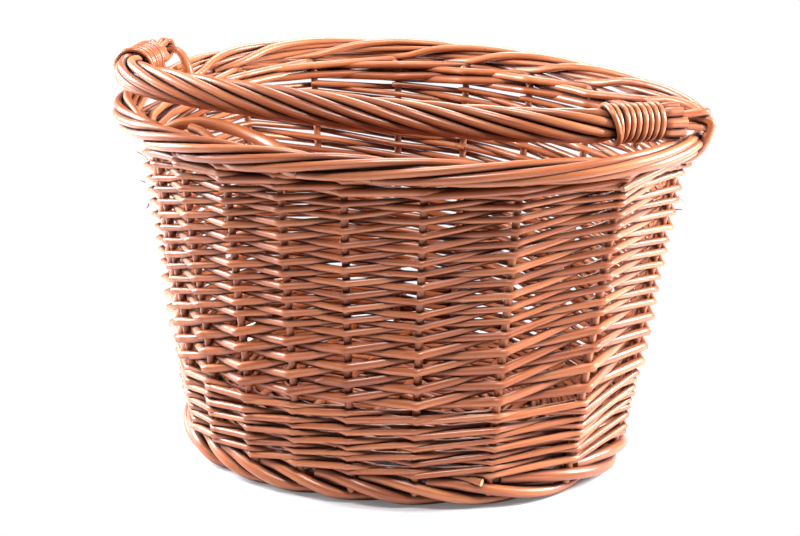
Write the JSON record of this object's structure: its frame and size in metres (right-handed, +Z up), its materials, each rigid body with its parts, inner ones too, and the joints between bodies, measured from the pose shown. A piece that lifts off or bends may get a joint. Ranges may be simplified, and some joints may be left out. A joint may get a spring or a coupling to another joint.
{
  "type": "basket",
  "caption": "Oval woven willow basket with a rolled border, waled bands, a foot rim and a roped swing handle that folds down on loops",
  "frame": {"origin": "on the floor under the middle of the border's box", "axes": "+Z up, +X along the basket's length to its narrower end, -Y towards the front, where the handle lies"},
  "size_m": [0.4595, 0.3603, 0.2936],
  "materials": {
    "wall_willow": "satin peeled willow rods, woven",
    "stake_willow": "satin peeled willow rods",
    "border_willow": "satin thick peeled willow rods, rolled",
    "handle_willow": "satin peeled willow rods, roped",
    "binding_willow": "satin thin peeled willow rod, wound"
  },
  "bodies": {
    "basket": {"foot_border": "border_willow", "lower_wale": "wall_willow", "side_weave": "wall_willow", "upper_wale": "wall_willow", "top_border": "border_willow", "base_weave": "wall_willow", "base_stick_long_1": "stake_willow", "base_stick_long_2": "stake_willow", "base_stick_long_3": "stake_willow", "base_stick_cross_1": "stake_willow", "base_stick_cross_2": "stake_willow", "base_stick_cross_3": "stake_willow", "base_stick_cross_4": "stake_willow", "base_stick_cross_5": "stake_willow", "stake_01": "stake_willow", "stake_02": "stake_willow", "stake_03": "stake_willow", "stake_04": "stake_willow", "stake_05": "stake_willow", "stake_06": "stake_willow", "stake_07": "stake_willow", "stake_08": "stake_willow", "stake_09": "stake_willow", "stake_10": "stake_willow", "stake_11": "stake_willow", "stake_12": "stake_willow", "stake_13": "stake_willow", "stake_14": "stake_willow", "stake_15": "stake_willow", "stake_16": "stake_willow", "stake_17": "stake_willow", "stake_18": "stake_willow", "stake_19": "stake_willow", "handle_loop_left": "handle_willow", "handle_loop_right": "handle_willow"},
    "handle": {"handle_core": "handle_willow", "handle_rope": "handle_willow", "handle_binding_left": "binding_willow", "handle_binding_right": "binding_willow"}
  },
  "joints": [
    {"name": "handle_swing", "type": "hinge", "parent": "basket", "child": "handle", "pos_m": [0, 0, 0.2729], "axis": [-0.9996, 0.0275, 0.0119], "range_deg": [0, 170]}
  ]
}
